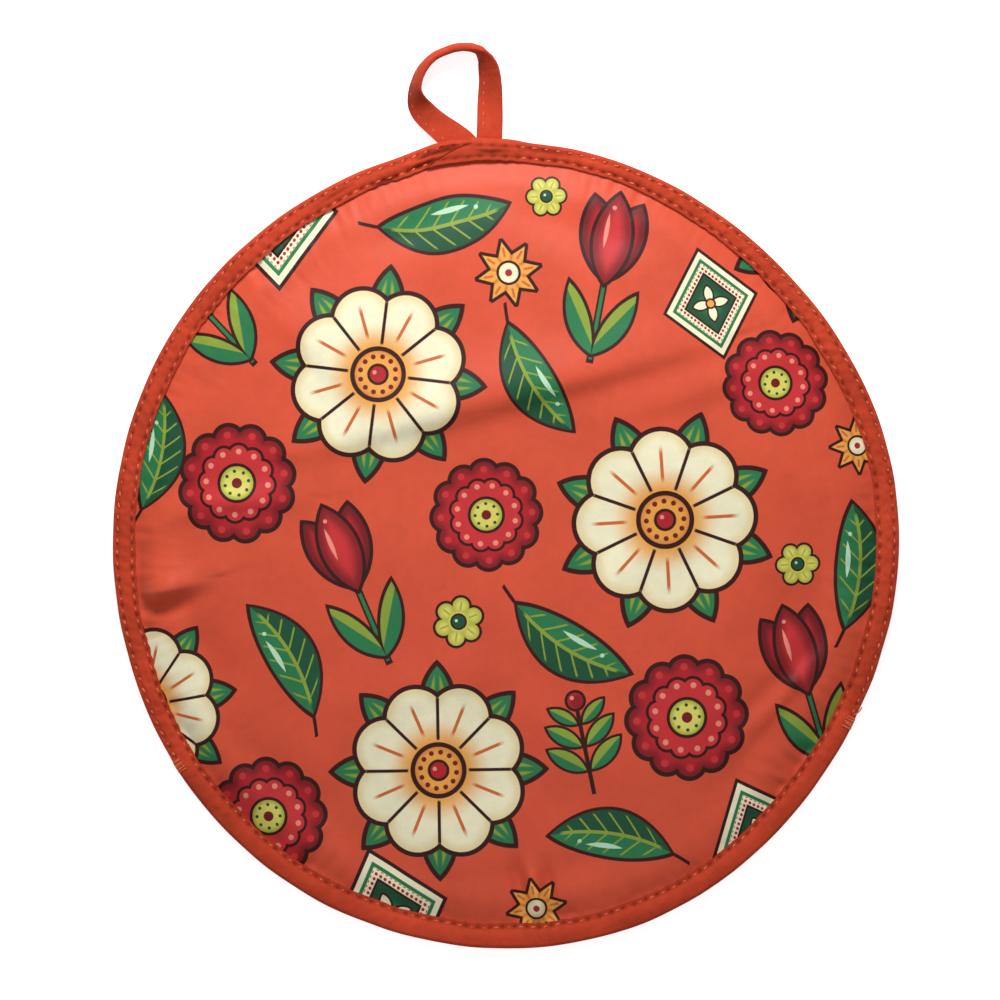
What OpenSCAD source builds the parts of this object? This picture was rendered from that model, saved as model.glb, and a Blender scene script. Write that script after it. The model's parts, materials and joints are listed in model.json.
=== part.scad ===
// A round quilted tortilla warmer, lying flat and empty.
// Two padded discs, each with bias tape folded round its edge, are laid on
// each other and sewn together round two thirds of the rim. The unsewn third
// is the mouth. A short tape loop comes out of the seam opposite the mouth.
// Millimetres. The origin is the centre of the underside, +Z is up, the loop
// points to +Y and the mouth faces -Y.

/* [Disc] */
// Diameter over the binding
disc_d = 304.8; // [250:0.1:380]
// Half of the angle that the mouth takes of the rim, in degrees
mouth_half_angle = 60.25; // [50:0.25:70]
// How far the lip's fold line lies inside the line between the mouth's ends
fold_inset = 14; // [10:1:20]

/* [Padded layers] */
// Thickness of the printed cover cloth
cover_t = 0.4; // [0.3:0.05:0.6]
// Thickness of the batting
batting_t = 3.2; // [2.6:0.1:4.5]
// Thickness of the batting where the binding squeezes it
batting_edge_t = 1; // [0.8:0.1:1.4]
// Thickness of the lining cloth
lining_t = 0.3; // [0.2:0.05:0.5]
// Width of the band inside the binding where a panel is drawn in
draw_in_w = 10; // [8:0.5:16]
// Air between two layers of one panel
layer_gap = 0.1; // [0.05:0.05:0.15]

/* [Binding] */
// Width of the tape on each face of a panel
binding_w = 10; // [8:0.5:13]
// Thickness of the folded tape
tape_t = 0.5; // [0.4:0.05:0.7]
// Gap between the two bindings at the seam
seam_gap = 0.3; // [0.3:0.05:0.5]

/* [Shape of the front] */
// Height of the front panel's crown
crown_h = 8; // [7:0.5:11]
// How full the crown is: a higher number is flatter on top
crown_power = 4; // [3:0.5:6]
// How far the middle of the mouth's lip stands up
mouth_lift = 8; // [7:0.5:12]
// How the lip's rise grows from the fold to the rim
lift_power = 1.6; // [1.4:0.1:2.2]
// Gap between the lip and the panel at the fold
fold_gap = 0.3; // [0.3:0.05:0.5]

/* [Stitching] */
// Width of a sewn thread row
thread_w = 0.6; // [0.4:0.1:0.9]
// Height of a sewn thread row on the tape
thread_h = 0.3; // [0.2:0.05:0.4]
// Each binding's own row, outward from the tape's inner edge
binding_row_off = 1.6; // [1:0.1:3]
// The row that joins the discs, inward from where the tape turns over the rim
joining_row_off = 0.4; // [0.3:0.1:1.5]
// Length of a tack across the rim at each end of the mouth
tack_len = 4; // [3:0.5:5]
// Width of a tack along the rim
tack_w = 1.6; // [1.2:0.1:2.4]

/* [Hanging loop] */
// Width of the loop's tape
loop_w = 9.2; // [7.5:0.1:11.5]
// Thickness of the loop's tape, folded and sewn
loop_t = 1.1; // [0.9:0.1:1.3]
// Thickness of the tape's ends, pressed flat in the seam
loop_end_t = 0.7; // [0.5:0.05:0.8]
// The tape's ends stop this far outside the binding's inner edge
loop_end_in = 1; // [0.5:0.5:3]
// Height of the loop over the rim
loop_h = 41.3; // [34:0.1:48]
// The loop's swing line, outward from the rim
swing_out = 3; // [2:0.1:4]
// Gap at the swing line, so that the loop's tape can turn
swing_gap = 0.9; // [0.8:0.05:0.95]
// Clearance round the tape's ends in the seam
loop_end_gap = 0.15; // [0.1:0.05:0.2]
// The loop's stitched row, from the middle of the tape
loop_row_off = 2.6; // [2:0.1:3.4]

/* [Hidden] */

disc_r = disc_d / 2;
bind_in_r = disc_r - binding_w;
drawn_r = bind_in_r - draw_in_w;
edge_h = cover_t + batting_edge_t + lining_t + 2 * layer_gap;
binding_h = edge_h + 2 * layer_gap + 2 * tape_t;
panel_r = disc_r - binding_h / 2;
binding_row_r = bind_in_r + binding_row_off;
joining_row_r = panel_r - joining_row_off;

// Heights of the two bindings
back_z0 = thread_h;
back_z1 = back_z0 + binding_h;
front_z0 = back_z1 + seam_gap;
front_z1 = front_z0 + binding_h;
seam_z = back_z1 + seam_gap / 2;
back_edge_z = back_z0 + tape_t + layer_gap;
front_edge_z = front_z0 + tape_t + layer_gap;

// The fold line of the mouth's lip. The lip turns on it just above the cover.
fold_y = -disc_r * cos(mouth_half_angle) - fold_inset;

// Points along the crown, the drawn-in band and the tape's turn at the rim
crown_steps = 12;
draw_steps = 4;
turn_steps = 10;
// The lip's sweep: stations round the mouth, and points in from the fold
lip_columns = 32;
lip_rows = 6;
lip_in_r = -fold_y * 0.96;
// Between a row of thread and the tape that it lies on
thread_clear = 0.04;
// A cube of this size covers the whole warmer
big = 2 * disc_d;
round_fn = 120;

cover_colour = [0.91, 0.36, 0.25];
tape_colour = [0.80, 0.25, 0.16];
thread_colour = [0.94, 0.50, 0.36];
lining_colour = [0.95, 0.93, 0.86];
batting_colour = [0.98, 0.98, 0.97];

// ---- Heights of the layers along the radius ----

function ease(t) = t <= 0 ? 0 : t >= 1 ? 1 : t * t * (3 - 2 * t);
function drawn(r) = ease((r - drawn_r) / draw_in_w);
function batting_at(r) = batting_t + (batting_edge_t - batting_t) * drawn(r);
function crown(r) = r >= bind_in_r ? 0
    : crown_h * (1 - pow(r / bind_in_r, crown_power));

function back_low(r) = back_edge_z * drawn(r);
function back_pad_low(r) = back_low(r) + cover_t + layer_gap;
function back_pad_high(r) = back_pad_low(r) + batting_at(r);
function back_lining_low(r) = back_pad_high(r) + layer_gap;

function front_lining_low(r) = front_edge_z + crown(r);
function front_pad_low(r) = front_lining_low(r) + lining_t + layer_gap;
function front_pad_high(r) = front_pad_low(r) + batting_at(r);
function front_cover_low(r) = front_pad_high(r) + layer_gap;

// The lip's rise beyond the fold line, the same along each line parallel to it
function rise(y) = y >= fold_y ? 0
    : mouth_lift * pow((fold_y - y) / (fold_y + disc_r), lift_power);

// ---- Radii at which the sections have points ----

draw_radii = [for (i = [1:draw_steps]) drawn_r + draw_in_w * i / draw_steps];
back_radii = concat([0, drawn_r], draw_radii, [panel_r]);
front_radii = concat([for (i = [0:crown_steps]) drawn_r * i / crown_steps],
                     draw_radii, [panel_r]);
// On the tape's flat legs the lip also has points at the row's edges
lip_leg_radii = [
    bind_in_r, binding_row_r - thread_w / 2, binding_row_r + thread_w / 2,
    (binding_row_r + panel_r) / 2
];
lip_radii = concat(
    [for (i = [0:lip_rows]) lip_in_r + (drawn_r - lip_in_r) * i / lip_rows],
    draw_radii, [for (i = [1:3]) lip_leg_radii[i]], [panel_r]);

// ---- Half sections, as closed outlines of [radius, height] ----

// A layer from its underside's points and its thickness at each
function layer(low, thick) = concat(
    low, [for (i = [len(low) - 1:-1:0]) low[i] + [0, thick[i]]]);
function even(radii, t) = [for (r = radii) t];
function pad(radii) = [for (r = radii) batting_at(r)];

back_cover_section = layer([for (r = back_radii) [r, back_low(r)]],
                           even(back_radii, cover_t));
back_batting_section = layer([for (r = back_radii) [r, back_pad_low(r)]],
                             pad(back_radii));
back_lining_section = layer([for (r = back_radii) [r, back_lining_low(r)]],
                            even(back_radii, lining_t));

function cover_section(radii) = layer([for (r = radii) [r, front_cover_low(r)]],
                                      even(radii, cover_t));
function batting_section(radii) = layer([for (r = radii) [r, front_pad_low(r)]],
                                        pad(radii));
function lining_section(radii) = layer([for (r = radii) [r, front_lining_low(r)]],
                                       even(radii, lining_t));

// Half a turn round the rim, of radius rad, from below to above
function turn(rad, z) = [
    for (i = [0:turn_steps])
        let (a = -90 + 180 * i / turn_steps)
        [panel_r + rad * cos(a), z + rad * sin(a)]
];
// Points of one flat leg of the tape at height z, from its cut edge outward
function leg(z, radii) = [for (r = radii) [r, z]];
function back_over(points) = [for (i = [len(points) - 1:-1:0]) points[i]];
// The tape folded round a panel's edge, with its underside at z0
function tape_section(z0, radii = [bind_in_r]) =
    let (mid = z0 + binding_h / 2,
         z1 = z0 + binding_h)
    concat(leg(z0, radii), turn(binding_h / 2, mid), back_over(leg(z1, radii)),
           leg(z1 - tape_t, radii),
           back_over(turn(binding_h / 2 - tape_t, mid)),
           back_over(leg(z0 + tape_t, radii)));
// A row of thread at radius r on the tape's face at height z, above or below
function thread_section(r, z, side) =
    let (h = thread_h * side, w = thread_w / 2, near = z + thread_clear * side)
    [[r - w, near], [r + w, near], [r + w, z + h / 2], [r + w / 2, z + h],
     [r - w / 2, z + h], [r - w, z + h / 2]];

// ---- Shapes ----

module ring(section) rotate_extrude($fn = round_fn) polygon(section);

// An arc of the rim that leaves the mouth out
module seam_arc(section)
    rotate([0, 0, mouth_half_angle - 90])
        rotate_extrude(angle = 360 - 2 * mouth_half_angle, $fn = round_fn)
            polygon(section);

module behind_fold()
    intersection() {
        children();
        translate([-big / 2, fold_y + fold_gap / 2, -big / 2]) cube(big);
    }

module before_fold()
    intersection() {
        children();
        translate([-big / 2, fold_y - fold_gap / 2 - big, -big / 2]) cube(big);
    }

// Triangles between the ring of m points that starts at index a and the next
function join_rings(m, a) = [
    for (i = [0:m - 1], half = [0, 1])
        let (j = (i + 1) % m)
        [for (k = half == 0 ? [i, j, m + j] : [i, m + j, m + i]) a + k]
];
// Triangles that close a swept strip at its first ring and at the one from
// index last on. A strip's second half runs back over its first.
function strip_caps(m, last) = [
    for (i = [0:m / 2 - 2], half = [0, 1], end = [0, last])
        let (j = m - 1 - i,
             tri = half == 0 ? [i, j, j - 1] : [i, j - 1, i + 1])
        end == 0 ? tri : [for (k = [2, 1, 0]) tri[k] + end]
];

// A section swept round the mouth, with the lip's rise
module lip_sweep(section) {
    m = len(section);
    points = [
        for (c = [0:lip_columns], p = section)
            let (a = mouth_half_angle * (2 * c / lip_columns - 1),
                 x = p[0] * sin(a),
                 y = -p[0] * cos(a))
            [x, y, p[1] + rise(y)]
    ];
    sides = [
        for (c = [0:lip_columns - 1]) each join_rings(m, m * c)
    ];
    before_fold()
        polyhedron(points, concat(sides, strip_caps(m, m * lip_columns)));
}

// ---- The back disc ----

module back_cover() color(cover_colour) ring(back_cover_section);

module back_batting() color(batting_colour) ring(back_batting_section);

module back_lining() color(lining_colour) ring(back_lining_section);

module back_binding()
    color(tape_colour)
        difference() {
            ring(tape_section(back_z0));
            end_pockets();
        }

module back_binding_thread()
    color(thread_colour) ring(thread_section(binding_row_r, back_z0, -1));

// ---- The front disc behind the fold ----

module front_cover()
    color(cover_colour) behind_fold() ring(cover_section(front_radii));

module front_batting()
    color(batting_colour) behind_fold() ring(batting_section(front_radii));

module front_lining()
    color(lining_colour) behind_fold() ring(lining_section(front_radii));

module front_binding()
    color(tape_colour)
        difference() {
            behind_fold() ring(tape_section(front_z0));
            end_pockets();
        }

module front_binding_thread()
    color(thread_colour)
        behind_fold() ring(thread_section(binding_row_r, front_z1, 1));

// ---- The seam that joins the discs ----

// Needle thread on top and bobbin thread underneath
module joining_thread()
    color(thread_colour) {
        seam_arc(thread_section(joining_row_r, front_z1, 1));
        seam_arc(thread_section(joining_row_r, back_z0, -1));
    }

// Stitches sewn over the rim, on the mouth's side of the row's end
module bar_tack(side) {
    in_r = disc_r - tack_len;
    out_r = disc_r + thread_clear;
    turn_deg = tack_w / disc_r * 180 / PI;
    gap_deg = 0.3;
    start = side > 0 ? mouth_half_angle - 90 - gap_deg - turn_deg
                     : -90 - mouth_half_angle + gap_deg;
    low = back_z0 - thread_clear;
    high = front_z1 + thread_clear;
    color(thread_colour)
        rotate([0, 0, start])
            rotate_extrude(angle = turn_deg, $fn = round_fn)
                polygon([[in_r, 0], [out_r + thread_h, 0],
                         [out_r + thread_h, high + thread_h],
                         [in_r, high + thread_h], [in_r, high],
                         [out_r, high], [out_r, low], [in_r, low]]);
}

module left_bar_tack() bar_tack(-1);

module right_bar_tack() bar_tack(1);

// ---- The lip of the mouth, before the fold ----

module front_cover_lip() color(cover_colour) lip_sweep(cover_section(lip_radii));

module front_batting_lip()
    color(batting_colour) lip_sweep(batting_section(lip_radii));

module front_lining_lip()
    color(lining_colour) lip_sweep(lining_section(lip_radii));

module front_binding_lip()
    color(tape_colour) lip_sweep(tape_section(front_z0, lip_leg_radii));

module front_binding_thread_lip()
    color(thread_colour)
        lip_sweep(thread_section(binding_row_r, front_z1, 1));

// ---- The hanging loop ----

// Each row: place across, share of the loop's height, twist in degrees.
// The tape leaves the seam flat on the left, twists on to its edge, goes over
// the top on edge and comes down flat on the right, half a turn further.
loop_route = [
    [-9.8, -0.08, 180], [-9.8, 0, 180], [-10.9, 0.115, 180],
    [-15, 0.245, 174], [-19.6, 0.35, 158], [-22.7, 0.45, 138],
    [-23.5, 0.57, 120], [-22, 0.69, 108], [-18.8, 0.8, 102],
    [-14, 0.885, 98], [-8, 0.935, 92], [-2.4, 0.935, 84], [1.8, 0.885, 70],
    [4.4, 0.79, 44], [5.4, 0.67, 26], [5.5, 0.54, 16], [5, 0.37, 6],
    [4.2, 0.18, 0], [3.4, 0, 0], [3.4, -0.08, 0]
];
loop_steps = 3;
swing_y = disc_r + swing_out;
end_x = [loop_route[1][0], loop_route[len(loop_route) - 2][0]];
floor_gap = 0.05;
// The loop's row starts this far past the swing line, to clear the tape's ends
thread_start = 1.2;

// A smooth curve through four neighbouring values
function through(a, b, c, d, t) = 0.5 * (2 * b + (c - a) * t
    + (2 * a - 5 * b + 4 * c - d) * t * t
    + (3 * b - a - 3 * c + d) * t * t * t);
function loop_at(i, t) =
    let (p = [for (k = [0:3]) loop_route[i + k]],
         q = [for (n = [0:2])
              through(p[0][n], p[1][n], p[2][n], p[3][n], t)],
         turned = max(q[2], 0),
         on_edge = loop_w / 2 * sin(turned) + loop_t / 2 * abs(cos(turned)))
    [q[0], disc_r + loop_h * q[1], max(seam_z, on_edge + floor_gap), turned];
loop_last = len(loop_route) - 4;
loop_line = concat(
    [for (i = [0:loop_last], k = [0:loop_steps - 1]) loop_at(i, k / loop_steps)],
    [loop_at(loop_last, 1)]);

// A strip along the loop's tape, from start_y outward, t0 to t1 thick and with
// edges at the given places across the tape
module loop_strip(across_at, t0, t1, start_y) {
    m = 2 * len(across_at);
    n = len(loop_line);
    ahead = [for (k = [0:n - 1])
        let (a = loop_line[max(k - 1, 0)], b = loop_line[min(k + 1, n - 1)],
             d = [b[0] - a[0], b[1] - a[1]])
        d / norm(d)];
    corners = concat([for (w = across_at) [w, t0]],
                     back_over([for (w = across_at) [w, t1]]));
    points = [
        for (k = [0:n - 1], c = corners)
            let (p = loop_line[k],
                 side = [-ahead[k][1], ahead[k][0]],
                 across = c[0] * cos(p[3]) - c[1] * sin(p[3]),
                 up = c[0] * sin(p[3]) + c[1] * cos(p[3]))
            [p[0] + side[0] * across, p[1] + side[1] * across, p[2] + up]
    ];
    sides = [
        for (k = [0:n - 2]) each join_rings(m, m * k)
    ];
    intersection() {
        polyhedron(points, concat(sides, strip_caps(m, m * (n - 1))));
        translate([-big / 2, start_y, -big / 2]) cube(big);
    }
}

module end_plate(grow) {
    in_y = bind_in_r + loop_end_in;
    out_y = swing_y - swing_gap;
    for (x = end_x)
        translate([x - loop_w / 2 - grow, in_y - grow,
                   seam_z - loop_end_t / 2 - grow])
            cube([loop_w + 2 * grow, out_y - in_y + (grow > 0 ? disc_r : 0),
                  loop_end_t + 2 * grow]);
}

// The bindings give way where the tape's ends lie between them
module end_pockets() end_plate(loop_end_gap);

module loop_ends() color(tape_colour) end_plate(0);

// Edges of the stitched row, across the tape
row_edges = [-loop_row_off - thread_w / 2, thread_w / 2 - loop_row_off];

module hanging_loop()
    color(tape_colour)
        loop_strip(concat(-loop_w / 2, row_edges, loop_w / 2),
                   -loop_t / 2, loop_t / 2, swing_y);

module loop_thread()
    color(thread_colour)
        loop_strip(row_edges, loop_t / 2 + thread_clear, loop_t / 2 + thread_h,
                   swing_y + thread_start);

back_cover();
back_batting();
back_lining();
back_binding();
back_binding_thread();
front_cover();
front_batting();
front_lining();
front_binding();
front_binding_thread();
joining_thread();
left_bar_tack();
right_bar_tack();
loop_ends();
front_cover_lip();
front_batting_lip();
front_lining_lip();
front_binding_lip();
front_binding_thread_lip();
hanging_loop();
loop_thread();
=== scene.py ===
import functools
import json
import math
import random

import bmesh
import bpy
from mathutils import Matrix, Vector, noise
from mathutils.bvhtree import BVHTree


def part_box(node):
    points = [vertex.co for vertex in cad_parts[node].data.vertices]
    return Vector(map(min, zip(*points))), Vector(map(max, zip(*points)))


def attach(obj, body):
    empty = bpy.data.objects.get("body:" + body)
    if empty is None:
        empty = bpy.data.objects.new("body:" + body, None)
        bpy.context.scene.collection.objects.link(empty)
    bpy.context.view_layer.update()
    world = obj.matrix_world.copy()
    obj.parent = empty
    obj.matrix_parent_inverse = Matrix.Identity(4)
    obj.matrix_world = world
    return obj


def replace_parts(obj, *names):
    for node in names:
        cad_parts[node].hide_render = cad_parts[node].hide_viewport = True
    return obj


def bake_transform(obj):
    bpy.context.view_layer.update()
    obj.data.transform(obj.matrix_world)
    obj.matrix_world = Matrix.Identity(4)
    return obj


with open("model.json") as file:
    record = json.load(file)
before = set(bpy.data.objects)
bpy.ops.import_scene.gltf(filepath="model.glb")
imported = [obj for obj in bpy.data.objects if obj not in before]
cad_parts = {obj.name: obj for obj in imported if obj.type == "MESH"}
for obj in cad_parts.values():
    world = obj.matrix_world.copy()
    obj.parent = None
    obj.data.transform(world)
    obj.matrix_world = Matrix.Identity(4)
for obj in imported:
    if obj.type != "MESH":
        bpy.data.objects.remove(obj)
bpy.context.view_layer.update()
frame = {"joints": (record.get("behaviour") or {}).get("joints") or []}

scene = bpy.context.scene
mm = 0.001               # everything below is in millimetres and degrees until a mesh is made


def boxOf(node):
    low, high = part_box(node)
    return low / mm, high / mm


def ease(t):
    t = min(max(t, 0), 1)
    return t * t * (3 - 2 * t)


def bump(x, middle, width):
    return math.exp(-((x - middle) / width) ** 2)


# where the photograph shows the disc, in its own pixels
photo = {
    "centre": (503.9, 545.1),
    "rimPixels": 397.15,         # mean distance from the centre to the rim
    "turn": 3.45,                # the warmer lies turned this far anticlockwise
}

backTape = boxOf("back_binding")
frontTape = boxOf("front_binding")
lipJoint = [j for j in frame["joints"] if j["name"] == "mouth_open"][0]

disc = {
    "rim": (backTape[1].x - backTape[0].x) / 2,
    "tapeTurn": (backTape[1].z - backTape[0].z) / 2,     # radius of the tape's turn at the rim
    "foldY": lipJoint["pos_m"][1] / mm,                  # where the mouth's lip folds up
    "lift": boxOf("front_binding_lip")[1].z - frontTape[1].z,
    "liftPower": 1.6,
    "mouthHalf": 60.25,          # degrees from the mouth's middle to its ends
    "crown": 8,
    "crownFrom": 142.4,          # the front disc is flat outside this radius
    "crownPower": 4,
    "drawnFrom": 132.4,          # the seam draws the back disc flat over this width
    "drawnWidth": 10,
    "backPad": 3.72,             # the top of the back padding, and how much lower it is at the rim
    "backDrawn": 1.45,
    "lining": 0.3,
    "cloth": 0.4,
    "batting": 3.2,
    "gap": 0.1,
    # the rim isn't a true circle: order, height in mm and direction of each wave
    "rimWaves": [(2, 1.7, 90), (3, 0.5, -3.4), (4, 0.5, 7.1), (5, 0.55, 9.5)],
    "rimHump": (2, 98, 4.6),     # where the loop's ends push the seam out: height, direction, degrees
}
pixel = disc["rim"] / photo["rimPixels"]


def fromPhoto(px, py):
    # a place in the photograph as x and y on the disc
    turn = math.radians(photo["turn"])
    across = (px - photo["centre"][0]) * pixel
    up = (photo["centre"][1] - py) * pixel
    return across * math.cos(turn) + up * math.sin(turn), up * math.cos(turn) - across * math.sin(turn)


def roundNoise(angle, size, across, kind):
    # unevenness along the rim, with features of the given size, that closes on itself
    turns = disc["rim"] / size
    return noise.noise((math.cos(angle) * turns, math.sin(angle) * turns, across + kind * 7.3))


@functools.lru_cache(maxsize=None)
def rimStretch(angle):
    seen = math.degrees(angle) + photo["turn"]
    waves = sum(h * math.cos(math.radians(n * (seen - at))) for n, h, at in disc["rimWaves"])
    hump, at, spread = disc["rimHump"]
    waves += hump * bump(seen % 360, at, spread)
    return (waves + roundNoise(angle, 17, 0, 1) * 0.3) / disc["rim"]


def polar(r, angle):
    # x and y of a place on the disc, with the rim's own uneven outline
    r = r * (1 + rimStretch(angle) * (r / disc["rim"]) ** 2)
    return r * math.cos(angle), r * math.sin(angle)


def rise(y):
    # the mouth's lip stands up in front of the fold line
    if y >= disc["foldY"]:
        return 0
    return disc["lift"] * ((disc["foldY"] - y) / (disc["foldY"] + disc["rim"])) ** disc["liftPower"]


@functools.lru_cache(maxsize=None)
def sewn(angle):
    # 1 where the two discs are sewn together, 0 along the mouth
    fromMouth = abs((math.degrees(angle) + 90 + 180) % 360 - 180)
    return ease((fromMouth - disc["mouthHalf"]) / 2 + 0.5)


# building meshes

def finishMesh(name, bm, sharp=55):
    mesh = bpy.data.meshes.new(name)
    bm.to_mesh(mesh)
    bm.free()
    mesh.shade_smooth()
    mesh.set_sharp_from_angle(angle=math.radians(sharp))
    piece = bpy.data.objects.new(name, mesh)
    scene.collection.objects.link(piece)
    return piece


def clothPiece(name, steps, place, flat, side=None, sharp=55, paintedShade=None):
    # a grid whose points are moved to place(u, v); its UV map holds the cloth's own flat coordinates,
    # and its float attribute holds the painted shade at each point, in seams, creases and where the
    # tape turns from the light
    bm = bmesh.new()
    bmesh.ops.create_grid(bm, x_segments=steps[0], y_segments=steps[1], size=0.5)
    bm.verts.index_update()
    spots = [(v.co.x + 0.5, v.co.y + 0.5) for v in bm.verts]
    layer = bm.loops.layers.uv.new("cloth")
    laid = [Vector(flat(*spot)) * mm for spot in spots]
    for face in bm.faces:
        for loop in face.loops:
            loop[layer].uv = laid[loop.vert.index]
    for vert, spot in zip(bm.verts, spots):
        vert.co = Vector(place(*spot)) * mm
    if paintedShade is not None:
        depth = bm.verts.layers.float.new("paintedShade")
        for vert, spot in zip(bm.verts, spots):
            vert[depth] = paintedShade(*spot)
    bmesh.ops.remove_doubles(bm, verts=bm.verts, dist=0.002 * mm)
    holes = [e for e in bm.edges if e.is_boundary]
    if side is None and holes:
        bmesh.ops.holes_fill(bm, edges=holes, sides=0)
    bmesh.ops.recalc_face_normals(bm, faces=bm.faces)
    if side is not None:         # an open sheet faces up or down
        if sum(f.normal.z * f.calc_area() for f in bm.faces) * side < 0:
            bmesh.ops.reverse_faces(bm, faces=bm.faces)
    return finishMesh(name, bm, sharp)


def thicken(piece, thickness):
    solid = piece.modifiers.new("clothThickness", "SOLIDIFY")
    solid.thickness = thickness * mm
    solid.offset = -1
    solid.use_even_offset = False
    return piece


def beadShape():
    bm = bmesh.new()
    bmesh.ops.create_uvsphere(bm, u_segments=8, v_segments=6, radius=mm / 2, calc_uvs=True)
    mesh = bpy.data.meshes.new("bead")
    bm.to_mesh(mesh)
    bm.free()
    return mesh


def beadPiece(name, beads):
    # stitches as small pointed beads, each with its middle, direction, face, length, width and height
    shape = beadShape()
    bm = bmesh.new()
    bm.loops.layers.uv.new("cloth")
    for bead in beads:
        bm.from_mesh(shape)
    each = len(shape.vertices)
    verts = list(bm.verts)
    for number, (middle, along, up, long, wide, high) in enumerate(beads):
        along = along.normalized()
        across = up.cross(along).normalized()
        up = along.cross(across)
        turnTo = Matrix((across * wide, up * high, along * long)).transposed()
        for vert in verts[number * each:(number + 1) * each]:
            vert.co = middle * mm + turnTo @ vert.co
    return finishMesh(name, bm, 180)


def foldSpans(points):
    # each straight part of a fold's line: start, direction, length and the length before it
    spans, run = [], 0
    for a, b in zip(points, points[1:]):
        length = math.dist(a, b)
        spans.append((*a, (b[0] - a[0]) / length, (b[1] - a[1]) / length, length, run))
        run += length
    return spans, run


def foldSet(folds):
    return [(*foldSpans([fromPhoto(*p) for p in points]), *rest) for points, *rest in folds]


foldShape = {
    "reach": 3,                  # a fold ends this many widths from its line
    "endShare": 0.04,            # what is left of its height at its two ends
    "fadePower": 0.6,
}


def foldHeight(lines, x, y):
    # the height at a place over or under a set of folds
    endShare = foldShape["endShare"]
    height = 0
    for spans, whole, tall, below, above in lines:
        best, place, sign = 1e9, 0, 1
        for ax, ay, dx, dy, length, run in spans:
            along = min(max((x - ax) * dx + (y - ay) * dy, 0), length)
            offX, offY = x - ax - along * dx, y - ay - along * dy
            away = math.hypot(offX, offY)
            if away < best:
                best, place, sign = away, run + along, dx * offY - dy * offX
        width = above if sign > 0 else below
        if best > foldShape["reach"] * width:
            continue
        share = min(max(place / whole, endShare), 1 - endShare)
        fade = math.sin(math.pi * share) ** foldShape["fadePower"]
        height += tall * fade * bump(best, 0, width)
    return height


# the binding: bias tape folded round the rim

binding = {
    "width": 8.9,                # seen from above, from the rim to the tape's inner edge
    "narrowTop": (1.6, 88, 40),  # how much narrower beside the loop, where, and over how many degrees
    "tape": 0.5,
    "sectors": 2080,
    "backSectors": 960,
    "innerRow": 1.5,             # the tape's own row, from its inner edge
    "outerRow": 1.9,             # the row that joins the discs, from the rim
    "pitch": 4.6,
    "spliceAt": 91.3,            # where the tape's folded end lies on its beginning
    "spliceLap": 3.2,
    "spliceSlant": 6.8,
    "spliceLift": 0.9,
    "sewnPuff": 0.42,            # how high the tape stands between its rows, where both discs are sewn
    "freePuff": 1.05,            # and along the mouth, where it has one row
    "edgePuff": 0.16,
    "ownDent": (0.2, 0.34),      # its own row's groove, and how much deeper each needle hole is
    "seamDent": (0.18, 0.3),
    "loopPocket": 0.22,
}

# creases in the tape beside the splice, as points in the photograph's pixels:
# (points, height, width below, width above)
tapeCreases = [
    ([(462, 146), (446, 150), (430, 154), (412, 162)], -0.8, 0.8, 0.7),
    ([(466, 141), (448, 144), (432, 149)], 0.6, 1, 1),
    ([(440, 158), (426, 163), (408, 170)], -0.8, 0.7, 0.7),
    ([(420, 160), (400, 168), (384, 174)], 0.5, 1, 1),
    ([(400, 175), (388, 180), (372, 186)], -0.65, 0.7, 0.7),
    ([(474, 150), (490, 152), (508, 151)], -0.5, 0.8, 0.8),
    ([(520, 149), (548, 152), (580, 158)], -0.35, 0.8, 0.8),
    ([(352, 184), (338, 192), (322, 202)], -0.4, 0.8, 0.8),
]
creaseLines = foldSet(tapeCreases)
panelR = disc["rim"] - disc["tapeTurn"]
rowTurns = round(2 * math.pi * (disc["rim"] - binding["width"]) / binding["pitch"])


@functools.lru_cache(maxsize=None)
def tapeWidth(angle):
    depth, at, spread = binding["narrowTop"]
    fromTop = (math.degrees(angle) + photo["turn"] - at + 180) % 360 - 180
    depth -= 0.9 * bump(fromTop, disc["rimHump"][1] - at, disc["rimHump"][2])
    wobble = roundNoise(angle, 11, 0, 2) * 0.55
    stitchPull = 0.3 * math.cos(angle * rowTurns) * max(roundNoise(angle, 16, 0, 3) + 0.2, 0)
    return binding["width"] - depth * bump(fromTop, 0, spread) + wobble + stitchPull


def innerEdge(angle):
    return disc["rim"] - tapeWidth(angle)


def stitchPhase(angle):
    return 0.5 + 0.5 * math.cos(angle * rowTurns)


def tapePuff(fromInner, angle):
    # how the tape's face stands up between its rows of stitches
    width = tapeWidth(angle)
    joined = sewn(angle)
    fromRim = width - fromInner
    inner, outer = binding["innerRow"], binding["outerRow"]
    middle = min(max((fromInner - inner) / (width - inner - outer), 0), 1)
    dome = min(max((fromInner - inner) / (width - inner), 0), 1)
    fullness = 0.75 + 0.5 * roundNoise(angle, 22, 0, 4)
    groove, hole = binding["ownDent"]
    seamGroove, seamHole = binding["seamDent"]
    puff = joined * binding["sewnPuff"] * fullness * math.sin(math.pi * middle)
    puff += (1 - joined) * binding["freePuff"] * fullness * math.sin(math.pi * dome ** 0.8)
    puff += binding["edgePuff"] * bump(fromInner, 0.7, 0.6)
    puff -= (groove + hole * stitchPhase(angle) ** 2) * bump(fromInner, inner, 0.7)
    puff -= joined * (seamGroove + seamHole * stitchPhase(angle) ** 2) * bump(fromRim, outer, 0.65)
    quilted = math.cos(angle * rowTurns + fromInner * 0.7) * math.sin(math.pi * middle)
    ripple = roundNoise(angle, 2.6, fromInner / 3.2, 5)
    ripple += 0.8 * roundNoise(angle + fromInner / 2.2 / disc["rim"], 6.5, 0, 6)
    return puff + (0.16 + 0.16 * joined) * ripple - (0.03 + 0.05 * joined) * quilted


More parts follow.
